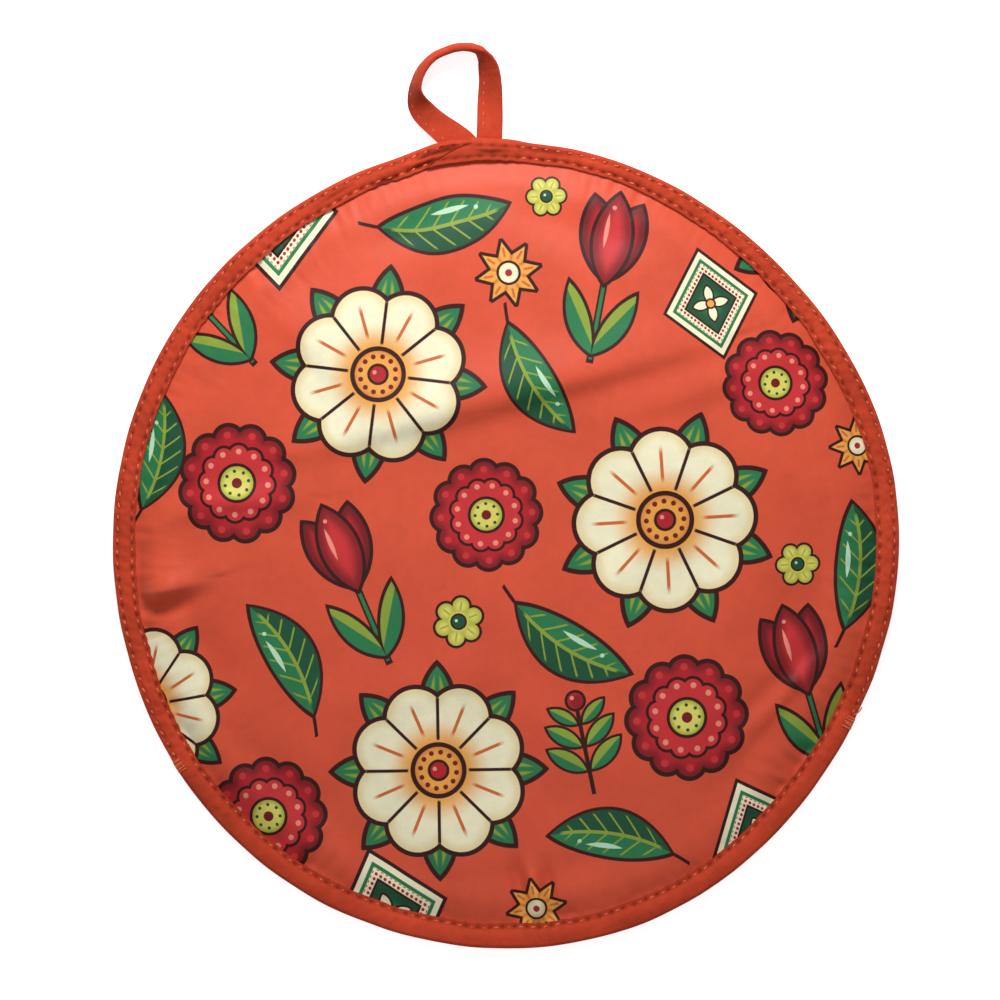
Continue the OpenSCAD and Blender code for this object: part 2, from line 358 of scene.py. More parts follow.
def loopBulge(angle, r):
    # the binding is thicker where the loop's ends lie in the seam
    x = r * math.cos(angle)
    if math.sin(angle) < 0.9:
        return 0
    return sum(bump(x, place, 4.6) for place in loopEnds)


def tapeTop(fromInner, angle, low):
    return low + 2 * disc["tapeTurn"] + tapePuff(fromInner, angle)


def bindingOutline():
    # stations round the tape's section: outer face over the rim, then the inner face back
    stations = [("top", t / 12) for t in range(13)]
    stations += [("turn", 90 - 18 * k) for k in range(1, 10)]
    stations += [("low", 1 - t / 5) for t in range(6)]
    stations += [("lowIn", t / 2) for t in range(3)]
    stations += [("turnIn", -60 + 40 * k) for k in range(4)]
    stations += [("topIn", 1 - t / 4) for t in range(5)]
    return stations


def bindingPoint(station, angle, low, lift, creased):
    part, t = station
    width = tapeWidth(angle)
    inner = disc["rim"] - width
    leg = panelR - inner
    radius = disc["tapeTurn"]
    middle = low + radius
    thin = binding["tape"]
    pocket = loopBulge(angle, disc["rim"]) * binding["loopPocket"]
    if part in ("top", "topIn"):
        crease = 0
        if creased and math.sin(angle) > 0.8:
            crease = foldHeight(creaseLines, *polar(inner + t * leg, angle))
        face = middle + radius + lift + tapePuff(t * leg, angle) + pocket + crease
        if part == "top":
            return inner + t * leg, face
        return inner + 0.1 + t * (leg - 0.1), face - thin
    if part == "low":
        return inner + 0.4 + t * (leg - 0.4), middle - radius - lift * 0.4 + pocket
    if part == "lowIn":
        return inner + 0.5 + t * (leg - 0.5), middle - radius - lift * 0.4 + thin + pocket
    turn = math.radians(t)
    out = radius + lift if part == "turn" else radius + lift - thin
    edge = tapePuff(leg, angle) * max(math.sin(turn), 0)
    roundness = 0.25 * (1 - sewn(angle)) * math.cos(turn)
    return panelR + (out + roundness) * math.cos(turn), middle + out * math.sin(turn) + edge + pocket


def paintedSeamShade(fromInner, angle):
    # painted shade: 1 at the needle's holes, in the grooves of the rows and along the tape's inner
    # edge, 0 on the tape's open face
    fromRim = tapeWidth(angle) - fromInner
    holes = 0.3 + 0.7 * stitchPhase(angle) ** 3
    shadeAmount = holes * bump(fromInner, binding["innerRow"], 0.62) + 0.5 * bump(fromInner, 0, 0.35)
    return min(shadeAmount + sewn(angle) * holes * bump(fromRim, binding["outerRow"], 0.6), 1)


def bindingPiece(name, low, sectors, upsideDown=False):
    # the tape goes once round the rim, clockwise, and its beginning is under its folded end
    stations = bindingOutline()
    whole = 360 + binding["spliceLap"]
    count = len(stations)

    def along(u, v):
        # the folded end is cut on the slant
        part, t = stations[round(v * count) % count]
        onLeg = t if part in ("top", "topIn", "low", "lowIn") else 1
        turned = whole * u
        slant = binding["spliceSlant"] * (1 - onLeg) * ease(1 - turned / 9)
        return turned, math.radians(binding["spliceAt"] + slant - turned)

    def place(u, v):
        station = stations[round(v * count) % count]
        turned, angle = along(u, v)
        lift = binding["spliceLift"] * (1 - ease((turned - 5) / 4)) - 0.2 * (1 - ease(turned / 0.35))
        r, z = bindingPoint(station, angle, low, lift, not upsideDown)
        if upsideDown:           # it lies flat on the table, its beginning on its folded end
            least = 0.02 + (binding["tape"] + 0.1) * ease((turned - 352) / 5)
            least += binding["tape"] if "In" in station[0] else 0
            z = max(2 * (low + disc["tapeTurn"]) - z, least)
        x, y = polar(r, angle)
        front = 0 if upsideDown else rise(r * math.sin(angle))
        return x, y, z + front

    def flat(u, v):
        return whole * u / 360 * 2 * math.pi * disc["rim"], v * count * 0.75

    # painted shade on the tape's face: in the holes and grooves of its rows, beside the splice's folded
    # end and in the creases beside the splice
    def paintedShade(u, v):
        part, t = stations[round(v * count) % count]
        if part != "top":
            return 0
        turned, angle = along(u, v)
        edge = binding["spliceAt"] + binding["spliceSlant"] * (1 - t)
        # painted shadow on the tape's beginning beside the folded end's edge, and painted shade along
        # that edge
        if turned > 180:
            under = 1.3 * bump(math.degrees(angle) + 360, edge, 0.6)
        else:
            under = 0.7 * bump(turned, 0, 0.14)
        inner = innerEdge(angle)
        fromInner = t * (panelR - inner)
        # painted shade in the creases beside the splice
        if math.sin(angle) > 0.8 and not upsideDown:
            under += max(-foldHeight(creaseLines, *polar(inner + fromInner, angle)), 0) * 1.7
        return min(paintedSeamShade(fromInner, angle) + under, 1)

    return clothPiece(name, (sectors, count), place, flat, sharp=50, paintedShade=paintedShade)


# the front and back discs

panel = {
    "sectors": 768,
    "plainSectors": 512,         # of the linings and the back cover
    "fineFrom": 122,             # the rings lie closer together outside this radius
    "coarseRings": 40,
    "fineRings": 24,
    "edgeR": 150.4,
    "edgeTop": 5.75,
    "swell": 4.2,                # how quickly the padding fills out inside the binding
    "simShare": 0.75,            # how much of the simulated swelling is used
    "simFrom": 7,                # it begins this far from the binding, and is full after simOver more
    "simOver": 16,
    "seamReach": 40,             # the seam's gathers end this far from the binding
    "liningRoom": 1.9,           # the lining's underside stays this far below the cover's face
    "padRoom": 0.9,              # the padding stays this far below the cover's underside
    "padLeast": 0.2,
    "padEdge": 149,
}

# soft folds in the front cloth, as points in the photograph's pixels:
# (points, height, width below, width above)
folds = [
    ([(300, 452), (430, 418), (560, 385), (720, 338)], 3.6, 4.6, 14),
    ([(126, 601), (160, 593), (204, 579)], 3.9, 3.8, 10),
    ([(130, 613), (160, 607), (194, 600)], -1.8, 4, 5),
    ([(150, 524), (215, 502), (300, 496)], 2, 4.5, 10),
    ([(152, 500), (210, 486), (280, 478)], -1.2, 5, 6),
    ([(596, 418), (690, 392), (800, 352)], 1.5, 6, 12),
    ([(430, 760), (446, 810), (452, 880)], 1.3, 6, 9),
    ([(700, 752), (762, 700), (826, 634)], -1.3, 3.2, 4),
    ([(712, 762), (776, 708), (840, 640)], 0.9, 3, 4),
    ([(800, 470), (830, 520), (846, 590)], 1.2, 5, 8),
    ([(330, 700), (420, 690), (520, 660)], 1.1, 7, 12),
    ([(250, 300), (320, 350), (372, 420)], 1.2, 6, 11),
]

# gathers that start at the seam itself
seamFolds = [
    ([(538, 917), (537, 898), (529, 862)], 2.7, 2.6, 2.6),
    ([(526, 917), (521, 890), (512, 850)], -2, 2.8, 2.6),
    ([(553, 915), (549, 888), (545, 862)], -1.8, 2.4, 2.4),
    ([(136, 599), (156, 593), (178, 586)], 1.6, 2.6, 4),
    ([(137, 611), (156, 607), (176, 602)], -1.1, 2.6, 2.4),
    ([(826, 706), (806, 690), (780, 676)], 1, 2.4, 2.4),
    ([(300, 862), (312, 842), (330, 818)], 0.9, 2.4, 2.4),
]
foldLines = foldSet(folds)
seamLines = foldSet(seamFolds)


def crown(r):
    if r >= disc["crownFrom"]:
        return 0
    return disc["crown"] * (1 - (r / disc["crownFrom"]) ** disc["crownPower"])


def frontLiningLow(r):
    return frontTape[0].z + 0.6 + crown(r)


def plainTop(r):
    # the crowned padding before any folds
    return frontLiningLow(r) + disc["lining"] + disc["batting"] + disc["cloth"] + 2 * disc["gap"]


# where the seam gathers the cloth more: direction, width in degrees, strength
gathers = [(-85, 3.2, 2.4), (-38, 9, 0.9), (128, 8, 0.7), (186, 6, 0.8), (-120, 6, 0.8)]


def seamPuckers(inward, angle):
    # small gathers that run in from the seam
    pucker = roundNoise(angle, 7.5, inward / 30, 7) + 0.6 * roundNoise(angle, 3.4, inward / 14, 8)
    strength = 0.55 + 0.9 * roundNoise(angle, 55, 0, 9)
    seen = math.degrees(angle) + photo["turn"]
    strength += sum(more * bump((seen - at + 180) % 360 - 180, 0, wide) for at, wide, more in gathers)
    return -abs(pucker) * max(strength, 0.12) * 1.5 * math.exp(-inward / 8) * ease(inward / 1.5)


def softWaves(x, y):
    wide = noise.noise((x / 62, y / 44, 2.2)) * 0.9
    middle = noise.noise((x / 24 + y / 60, y / 19, 7.7)) * 0.34
    return wide + middle


def frontTop(r, angle):
    inward = innerEdge(angle) - r
    if inward <= 0:
        return panel["edgeTop"] + rise(r * math.sin(angle))
    x, y = r * math.cos(angle), r * math.sin(angle)
    full = plainTop(r)
    if puffed is not None:
        share = panel["simShare"] * ease((inward - panel["simFrom"]) / panel["simOver"])
        full += share * puffed(x, y)
    swollen = 1 - math.exp(-inward / panel["swell"])
    top = panel["edgeTop"] + (full - panel["edgeTop"]) * swollen
    top += (foldHeight(foldLines, x, y) + softWaves(x, y)) * ease(inward / 9)
    if inward < panel["seamReach"]:
        top += foldHeight(seamLines, x, y) * ease(inward / 2.2)
    return top + seamPuckers(inward, angle) + rise(y)


def ringRadius(v):
    rings = panel["coarseRings"] + panel["fineRings"]
    k = v * rings
    coarse, fineFrom = panel["coarseRings"], panel["fineFrom"]
    if k <= coarse:
        return fineFrom * k / coarse
    return fineFrom + (panel["edgeR"] - fineFrom) * (k - coarse) / panel["fineRings"]


def discSheet(name, height, side, sectors=panel["sectors"], every=1):
    # an open round sheet at height(r, angle), thickened by the caller
    rings = (panel["coarseRings"] + panel["fineRings"]) // every

    def place(u, v):
        r, angle = ringRadius(v), 2 * math.pi * u
        return *polar(r, angle), height(r, angle)

    def flat(u, v):
        r, angle = ringRadius(v), 2 * math.pi * u
        return r * math.cos(angle) * side, r * math.sin(angle)

    return clothPiece(name, (sectors, rings), place, flat, side=side)


def padPiece(name, low, high, edge, sectors=360):
    # a closed pad between two heights, from its middle out to the radius edge and back
    def place(u, v):
        angle = 2 * math.pi * u
        out = 1 - abs(2 * v - 1)
        r = edge * out ** 0.85
        z = high(r, angle) if v > 0.5 else low(r, angle)
        if out == 1:
            z = (high(r, angle) + low(r, angle)) / 2
        return *polar(r, angle), z

    def flat(u, v):
        r, angle = edge * (1 - abs(2 * v - 1)), 2 * math.pi * u
        return r * math.cos(angle), r * math.sin(angle)

    return clothPiece(name, (sectors, 72), place, flat)


puffing = {
    "edge": 148,                 # radius of the pillow
    "sectors": 200,
    "voxel": 4.5,
    "pressure": 4,
    "frames": 20,
    "cap": 6,                    # no point moves further than this
    "smoothings": 3,
    "most": 2.5,                 # the swelling levels off towards this
}


def simulatePuff():
    # the padded front as a closed pillow: pressure swells it, and its free rim draws in and gathers
    def pillowTop(r, angle):
        return plainTop(r) * ease((puffing["edge"] + 1 - r) / 9 + 0.25)

    pillow = padPiece("pillowForSimulation", lambda r, angle: 0, pillowTop, puffing["edge"],
                      puffing["sectors"])
    bpy.context.view_layer.objects.active = pillow
    remesh = pillow.modifiers.new("voxels", "REMESH")
    remesh.mode = "VOXEL"
    remesh.voxel_size = puffing["voxel"] * mm
    bpy.ops.object.modifier_apply(modifier="voxels")
    start = [v.co.copy() for v in pillow.data.vertices]
    cloth = pillow.modifiers.new("cloth", "CLOTH")
    cloth.settings.use_pressure = True
    cloth.settings.uniform_pressure_force = puffing["pressure"]
    cloth.settings.quality = 6
    cloth.settings.bending_stiffness = 0.4
    cloth.settings.effector_weights.gravity = 0
    for number in range(1, puffing["frames"] + 1):
        scene.frame_set(number)
    evaluated = pillow.evaluated_get(bpy.context.evaluated_depsgraph_get())
    moved = [v.co.copy() for v in evaluated.data.vertices]
    pillow.modifiers.remove(cloth)
    scene.frame_set(1)
    for vert, rest, now in zip(pillow.data.vertices, start, moved):
        step = now - rest
        vert.co = rest + step * min(1, puffing["cap"] * mm / max(step.length, 1e-9))
    bm = bmesh.new()
    bm.from_mesh(pillow.data)
    for again in range(puffing["smoothings"]):
        bmesh.ops.smooth_vert(bm, verts=bm.verts, factor=0.5, use_axis_x=True, use_axis_y=True,
                              use_axis_z=True)
    tree = BVHTree.FromBMesh(bm)
    bm.free()
    bpy.data.objects.remove(pillow)

    def above(x, y):
        hit = tree.ray_cast(Vector((x, y, 100)) * mm, Vector((0, 0, -1)))[0]
        return None if hit is None else hit.z / mm

    middle = above(0, 0) - plainTop(0)

    def swelling(x, y):
        z, most = above(x, y), puffing["most"]
        if z is None:
            return 0
        return most * math.tanh((z - plainTop(math.hypot(x, y)) - middle) / most)

    return swelling


# stitches

stitch = {
    "length": 1.85,
    "width": 0.7,
    "height": 0.52,
    "slant": 12,                 # degrees from the row's direction
    "sit": 0.07,                 # how far their middles lie over the tape
}


def stitchRow(name, count, spot, firstTurn, lastTurn, upward):
    # spot(angle) gives the place of the thread on the tape's face
    beads = []
    dice = random.Random(name)
    pitch = (lastTurn - firstTurn) / count
    for number in range(count):
        angle = firstTurn + (number + 0.5) * pitch
        half = pitch * 0.3
        before, after = Vector(spot(angle - half)), Vector(spot(angle + half))
        up = Vector((0, 0, upward))
        slant = math.radians(stitch["slant"] + dice.uniform(-5, 5))
        along = Matrix.Rotation(slant * upward, 3, "Z") @ (after - before)
        middle = (before + after) / 2 + up * (stitch["sit"] + dice.uniform(-0.04, 0.08))
        long = stitch["length"] * dice.uniform(0.62, 1.2)
        wide = stitch["width"] * dice.uniform(0.85, 1.2)
        beads.append((middle, along, up, long, wide, stitch["height"]))
    return beadPiece(name, beads)


def onFrontTape(fromInner):
    def spot(angle):
        r = innerEdge(angle) + fromInner
        lift = 0.42 * bump((math.degrees(angle) - binding["spliceAt"] + 3 + 180) % 360 - 180, 0, 4)
        z = tapeTop(fromInner, angle, frontTape[0].z) + rise(r * math.sin(angle)) + lift
        return *polar(r, angle), z
    return spot


def underBackTape(fromInner):
    def spot(angle):
        r = innerEdge(angle) + fromInner
        z = backTape[1].z - (tapeTop(fromInner, angle, backTape[0].z) - backTape[0].z)
        return *polar(r, angle), max(z, 0.42)
    return spot


def outerSpot(onFace):
    # the joining row keeps its distance from the rim
    def spot(angle):
        return onFace(tapeWidth(angle) - binding["outerRow"])(angle)
    return spot


def threadTube(name, lines, thick, steps=24):
    # short lengths of thread that follow given lines of points
    bm = bmesh.new()
    bm.loops.layers.uv.new("cloth")
    for line in lines:
        points = [Vector(p) for p in line]
        spans = len(points) - 1
        tube = bmesh.new()
        bmesh.ops.create_cone(tube, cap_ends=True, segments=6, radius1=1, radius2=1, depth=1,
                              calc_uvs=True)
        edges = [e for e in tube.edges if abs(e.verts[0].co.z - e.verts[1].co.z) > 0.5]
        bmesh.ops.subdivide_edges(tube, edges=edges, cuts=steps - 1)
        for vert in tube.verts:
            t = min(max(vert.co.z + 0.5, 0), 1) * spans
            k = min(int(t), spans - 1)
            before, after = points[max(k - 1, 0)], points[min(k + 2, spans)]
            a, b = points[k], points[k + 1]
            here = smoothPoint(before, a, b, after, t - k)
            ahead = (smoothPoint(before, a, b, after, min(t - k + 0.1, 1)) -
                     smoothPoint(before, a, b, after, max(t - k - 0.1, 0))).normalized()
            side = ahead.cross(Vector((0.13, 0.21, 0.97))).normalized()
            other = ahead.cross(side)
            narrow = 0.6 if t in (0, spans) else 1
            vert.co = (here + (side * vert.co.x + other * vert.co.y) * thick / 2 * narrow) * mm
        bmesh.ops.recalc_face_normals(tube, faces=tube.faces)
        mesh = bpy.data.meshes.new("thread")
        tube.to_mesh(mesh)
        tube.free()
        bm.from_mesh(mesh)
    return finishMesh(name, bm, 180)


def smoothPoint(a, b, c, d, t):
    # a smooth curve through four neighbouring values, numbers or points
    bend, twist = 2 * a - 5 * b + 4 * c - d, 3 * b - a - 3 * c + d
    return 0.5 * (2 * b + (c - a) * t + bend * t * t + twist * t * t * t)


tack = {
    "threads": 8,
    "first": 0.4,                # mm from the end of the mouth to the first thread
    "apart": 0.62,
    "thick": 0.5,
    "proud": 0.16,               # how far the threads' middles lie outside the tape
    "reach": 0.78,               # where they start, as a share of the tape's width
    "least": 0.31,               # over the table
}


def tackLines(angle, side):
    # stitches sewn back over the rim at one end of the mouth
    lines = []
    for k in range(tack["threads"]):
        at = angle + side * (tack["first"] + tack["apart"] * k) / disc["rim"]
        lean = 0.5 * math.sin(k * 2.3) / disc["rim"]
        reach = tack["reach"] + 0.06 * math.sin(k * 1.7)
        over = []
        for part, t in (("top", reach), ("top", 0.9), ("turn", 72), ("turn", 30)):
            r, z = bindingPoint((part, t), at, frontTape[0].z, 0, False)
            out = math.radians(t if part == "turn" else 90)
            over.append((r + tack["proud"] * math.cos(out), z + tack["proud"] * math.sin(out)))
        under = [(r, max(backTape[1].z - (z - frontTape[0].z), tack["least"]))
                 for r, z in reversed(over)]
        path = over + under
        lines.append([(*polar(r, at + lean * (n - 3) / 3), z) for n, (r, z) in enumerate(path)])
    return lines


# the hanging loop

# place across, share of the loop's height over the rim, twist in degrees
loopRoute = [
    (-3.4, -0.26, 180), (-3.4, -0.18, 180), (-4, -0.07, 180), (-6.3, 0.04, 180),
    (-10.7, 0.145, 180), (-15.6, 0.248, 176), (-19.8, 0.35, 162), (-22.6, 0.45, 140),
    (-23.6, 0.562, 118), (-22.3, 0.685, 113), (-19.7, 0.795, 108), (-15, 0.892, 106),
    (-7.8, 0.949, 105), (-2.9, 0.952, 102), (1, 0.913, 84), (3.5, 0.85, 64), (4.9, 0.77, 46),
    (5.5, 0.678, 35), (5.4, 0.555, 27), (4.9, 0.41, 15), (4.5, 0.27, 6), (3.8, 0.1, 0),
    (3.5, 0, 0), (3.4, -0.09, 0), (3.4, -0.18, 0), (3.4, -0.26, 0),
]
loopTape = {
    "height": 41.8,
    "width": 9.9,
    "thick": 1.1,
    "leaf": 0.46,                # one layer of the folded tape
    "puff": 1.5,                 # how far its fold swells where the tape stands on edge
    "seamZ": (backTape[1].z + frontTape[0].z) / 2,
    "pressed": 0.62,             # how far the ends are pressed flat in the seam
    "stations": 200,
    "mapLength": 135,            # the length of its UV map
    "row": -2.5,                 # the stitches, from the middle of the tape
    "flare": 0.2,                # the slanting leg opens a little where it enters the seam
    "overTable": 0.17,
    "rowPitch": 4,
    "stitch": (1.5, 0.4, 0.22),  # length, width, height
}
loopEnds = (-8.6, 3.6)
loopPaintedShades = [(0.29, 0.075, 0.62), (0.725, 0.06, 0.5)]    # painted shade where the tape turns from the light: share along the loop, width, depth


def loopSwell(twist):
    # the fold swells only where the tape stands on edge
    return loopTape["puff"] * (0.14 + 0.86 * ease((math.sin(twist) - 0.9) * 11))


def loopAt(share):
    # place of the tape's middle, its twist, and how thick it is there
    k = share * (len(loopRoute) - 3)
    i = min(int(k), len(loopRoute) - 4)
    x, up, twist = (smoothPoint(*[row[n] for row in loopRoute[i:i + 4]], k - i) for n in range(3))
    y = disc["rim"] + loopTape["height"] * up
    twist = math.radians(min(max(twist, 0), 180))
    onEdge = loopTape["width"] / 2 * math.sin(twist) + loopTape["thick"] / 2 * abs(math.cos(twist))
    onEdge += loopSwell(twist) * abs(math.cos(twist)) * 0.8
    press = loopTape["pressed"] + (1 - loopTape["pressed"]) * ease((y - disc["rim"] - 2) / 4)
    return Vector((x, y, max(loopTape["seamZ"], onEdge + 0.12))), twist, press


def loopPoint(share, across, up, swell=0):
    # across and up are measured in the tape's own section
    middle, twist, press = loopAt(share)
    ahead = loopAt(min(share + 0.004, 1))[0] - loopAt(max(share - 0.004, 0))[0]
    side = Vector((-ahead.y, ahead.x, 0)).normalized()
    free = ease((press - 0.7) * 4)
    soft = 0.2 * noise.noise((share * 19, across / 5, 3.3))
    soft += 0.1 * noise.noise((share * 60, across / 2.5, 6))
    up = up * press + (soft + swell * loopSwell(twist)) * free
    if share < 0.5:
        across *= 1 + loopTape["flare"] * ease(1 - abs(middle.y - disc["rim"] - 2) / 11)
    spot = middle + side * (across * math.cos(twist) - up * math.sin(twist))
    spot.z = max(spot.z + across * math.sin(twist) + up * math.cos(twist), loopTape["overTable"])
    return spot


def loopSection():
    # a tape folded in half along its length: across, up, and how far it swells there
    half, thick, leaf = loopTape["width"] / 2, loopTape["thick"] / 2, loopTape["leaf"]
    inner = thick - leaf

    def face(t, way):
        swell = 0.6 * math.sin(math.pi * t ** 1.6) + 0.4 * t ** 3
        return 2 * half * t - half, way * (thick + 0.16 * math.sin(math.pi * t)), way * swell

    over = [face(t / 8, 1) for t in range(8)]
    turns = [math.radians(90 - 30 * k) for k in range(7)]
    fold = [(half + thick * (math.cos(a) - 1), thick * math.sin(a), 0.4 * math.sin(a)) for a in turns]
    under = [face(1 - t / 8, -1) for t in range(1, 9)]
    slot = [(0.1 - half, -inner, 0), (0, -inner * 0.6, -0.5), (half - 1.2, 0, 0), (0, inner * 0.6, 0.5),
            (0.1 - half, inner, 0)]
    return over + fold + under + slot


def hangingLoop():
    section = loopSection()
    count = len(section)

    def place(u, v):
        return loopPoint(u, *section[round(v * count) % count])

    def flat(u, v):
        return u * loopTape["mapLength"], v * count * 0.9

    def paintedShade(u, v):             # painted shade where the tape turns away from the light
        return sum(shadeAmount * bump(u, at, wide) for at, wide, shadeAmount in loopPaintedShades)

    steps = loopTape["stations"], count
    return clothPiece("hanging_loop_tape", steps, place, flat, sharp=50, paintedShade=paintedShade)


def loopLengths():
    # the tape's length up to each station
    steps = loopTape["stations"]
    lengths = [0]
    for k in range(1, steps + 1):
        lengths.append(lengths[-1] + (loopAt(k / steps)[0] - loopAt((k - 1) / steps)[0]).length)
    return lengths


def loopStitches():
    # one row of short stitches near the tape's open edge, where the tape is free
    beads = []
    lengths = loopLengths()
    top, swell, row = loopTape["thick"] / 2 + 0.06, 0.2, loopTape["row"]
    for number in range(int(lengths[-1] / loopTape["rowPitch"])):
        want = (number + 0.5) * loopTape["rowPitch"]
        share = next(k for k, run in enumerate(lengths) if run >= want) / loopTape["stations"]
        if loopAt(share)[0].y < disc["rim"] + 6:
            continue
        here = loopPoint(share, row, top, swell)
        ahead = loopPoint(share + 0.004, row, top) - loopPoint(share - 0.004, row, top)
        under = loopPoint(share, row, -top, -swell)
        for spot in (here, under):
            beads.append((spot, ahead, here - under, *loopTape["stitch"]))
    return beadPiece("loop_stitches", beads)


# node helpers

def feed(tree, node, sockets):
    # fixed values, Nums or other nodes' sockets go into a node's inputs
    for label, value in sockets.items():
        if isinstance(value, Num):
            value = value.socket
        if isinstance(value, bpy.types.NodeSocket):
            tree.links.new(value, node.inputs[label])
        else:
            node.inputs[label].default_value = value
    return node


def addNode(tree, kind, sockets, **settings):
    # a new shader node with its settings and its inputs
    node = tree.nodes.new("ShaderNode" + kind)
    for label, value in settings.items():
        setattr(node, label, value)
    return feed(tree, node, sockets)


class Num:
    # a number in a node tree, so that a formula reads as one
    def __init__(self, tree, socket):
        self.tree, self.socket = tree, socket

    def do(self, operation, *others):
        node = addNode(self.tree, "Math", dict(enumerate((self, *others))), operation=operation)
        return Num(self.tree, node.outputs[0])

    __add__ = functools.partialmethod(do, "ADD")
    __sub__ = functools.partialmethod(do, "SUBTRACT")
    __mul__ = functools.partialmethod(do, "MULTIPLY")
    __neg__ = functools.partialmethod(do, "MULTIPLY", -1)
    __abs__ = functools.partialmethod(do, "ABSOLUTE")
    least = functools.partialmethod(do, "MINIMUM")
    most = functools.partialmethod(do, "MAXIMUM")

    def smooth(self, low, high):
        sockets = {"Value": self, "From Min": low, "From Max": high}
        node = addNode(self.tree, "MapRange", sockets, interpolation_type="SMOOTHSTEP")
        return Num(self.tree, node.outputs["Result"])


def length(x, y):
    return (x * x + y * y).do("SQRT")


def makeGroup(name, inputs, outputs):
    tree = bpy.data.node_groups.new(name, "ShaderNodeTree")
    kinds = {"v": "NodeSocketVector", "c": "NodeSocketColor", "n": "NodeSocketFloat"}
    for direction, sockets in (("INPUT", inputs), ("OUTPUT", outputs)):
        for label, kind in sockets.items():
            tree.interface.new_socket(label, in_out=direction, socket_type=kinds[kind])
    return tree, tree.nodes.new("NodeGroupInput"), tree.nodes.new("NodeGroupOutput")


def split(tree, vector):
    node = addNode(tree, "SeparateXYZ", {0: vector})
    return Num(tree, node.outputs["X"]), Num(tree, node.outputs["Y"])


def mixed(tree, share, first, second):
    # two colours or colour sockets mixed by share
    return addNode(tree, "Mix", {0: share, 6: first, 7: second}, data_type="RGBA").outputs[2]


def useGroup(tree, group, **sockets):
    return addNode(tree, "Group", sockets, node_tree=group)


def noiseNode(tree, vector, scale, detail=2, rough=0.5):
    sockets = {"Vector": vector, "Scale": scale, "Detail": detail, "Roughness": rough}
    return Num(tree, addNode(tree, "TexNoise", sockets).outputs["Fac"])


def hexColour(code):
    # a colour as it is seen on a screen, turned into the linear numbers that nodes take
    parts = [int(code[k:k + 2], 16) / 255 for k in (0, 2, 4)]
    return (*[c / 12.92 if c < 0.04045 else ((c + 0.055) / 1.055) ** 2.4 for c in parts], 1)


# the print: flowers, leaves, tulips, rosettes, stars and tiles

inks = {
    "ground": "DB5438",
    "outline": "37120F",
    "cream": "F7F0CC",
    "creamShade": "E9CF92",
    "ochre": "EFA64A",
    "ochreShade": "D06A34",
    "yellow": "DFD768",
    "yellowShade": "A9AE3E",
    "green": "2B7A4B",
    "darkGreen": "1B5236",
    "leafLight": "8DA13C",
    "shine": "BFE3C4",
    "red": "B5222A",
    "brightRed": "CC3336",
    "wine": "74191E",
    "blush": "F0907C",
}
inks = {name: hexColour(code) for name, code in inks.items()}


class Brush:
    # paints shapes over each other in a motif's own node group; distances are in millimetres
    def __init__(self, tree):
        self.tree, self.colour, self.mask, self.inside = tree, inks["outline"], None, None

    def paint(self, cover, ink):
        self.colour = mixed(self.tree, cover, self.colour, inks[ink])
        self.mask = cover if self.mask is None else self.mask.most(cover)

    def fill(self, away, ink, soft=0.13):
        self.paint(away.smooth(soft, -soft), ink)

    def shape(self, away, ink, line=1.8):
        self.fill(away - line / 2, "outline")
        self.fill(away + line / 2, ink)
        self.inside = (away + line / 2).smooth(0.13, -0.13)

    def tint(self, cover, ink):
        # colours only inside the last shape's outline
        self.colour = mixed(self.tree, cover * self.inside, self.colour, inks[ink])


def petalFold(x, y, petals, turned=0):
    # the place seen from the middle line of its own petal: along it, and away from it
    r = length(x, y)
    angle = (y.do("ARCTAN2", x) + turned).do("PINGPONG", math.pi / petals)
    return r, r * angle.do("COSINE"), r * angle.do("SINE"), angle


def almond(x, y, long, wide):
    # distance to a leaf shape with two points
    radius = (long * long + wide * wide) / (2 * wide)
    return length(x, abs(y) + (radius - wide)) - radius


def turnedBy(x, y, degrees):
    c, s = math.cos(math.radians(degrees)), math.sin(math.radians(degrees))
    return x * c + y * s, y * c - x * s


def paintFlower(brush, x, y):
    r, along, off, angle = petalFold(x, y, 8, math.pi / 8)
    brush.shape(almond(along - 26, off, 15, 6.4), "green")
    brush.tint(almond(along - 26, off, 12, 3).smooth(0.4, -0.4) * off.smooth(0.5, 1.4), "leafLight")
    r, along, off, angle = petalFold(x, y, 8)
    petal = (length(along - 21.5, off) - 12).least(r - 21)
    brush.shape(petal, "cream")
    brush.tint((petal + 0.6).smooth(-4.6, 0) * 0.75, "creamShade")
    brush.tint(r.smooth(21, 10), "ochre")
    brush.tint(off.smooth(0.75, 0.5) * r.smooth(13, 16) * r.smooth(28, 24), "ochreShade")
    between = r * (-(angle - math.pi / 8)).do("SINE")
    brush.tint(between.smooth(0.75, 0.5) * r.smooth(11, 12), "outline")
    brush.shape(r - 9.8, "ochre")
    brush.tint(r.smooth(6.4, 9.2) * 0.55, "ochreShade")
    r, along, off, angle = petalFold(x, y, 12)
    brush.fill(length(along - 6.9, off) - 0.95, "wine")
    brush.shape(r - 3.6, "red", 1.1)
    brush.fill(length(x + 1.1, y - 1.1) - 0.8, "blush")


def paintRosette(brush, x, y):
    r, along, off, angle = petalFold(x, y, 12)
    outer = length(along - 17.6, off) - 6.3
    brush.shape(outer.least(r - 17), "red")
    brush.tint((outer + 0.6).smooth(-5, -0.5) * r.smooth(16, 20) * 0.8, "wine")
    brush.tint(length(along - 19.8, off).smooth(1.7, 1.2), "brightRed")
    r, along, off, angle = petalFold(x, y, 12, math.pi / 12)
    brush.shape((length(along - 11.6, off) - 4.3).least(r - 11), "brightRed", 1.2)
    brush.tint(length(along - 12.8, off).smooth(1.35, 0.95), "blush")
    brush.shape(r - 7.4, "yellow", 1.3)
    brush.tint(r.smooth(4.4, 7), "yellowShade")
    r, along, off, angle = petalFold(x, y, 8)
    brush.fill(length(along - 4.9, off) - 0.7, "darkGreen")
    brush.fill(r - 2.1, "wine")


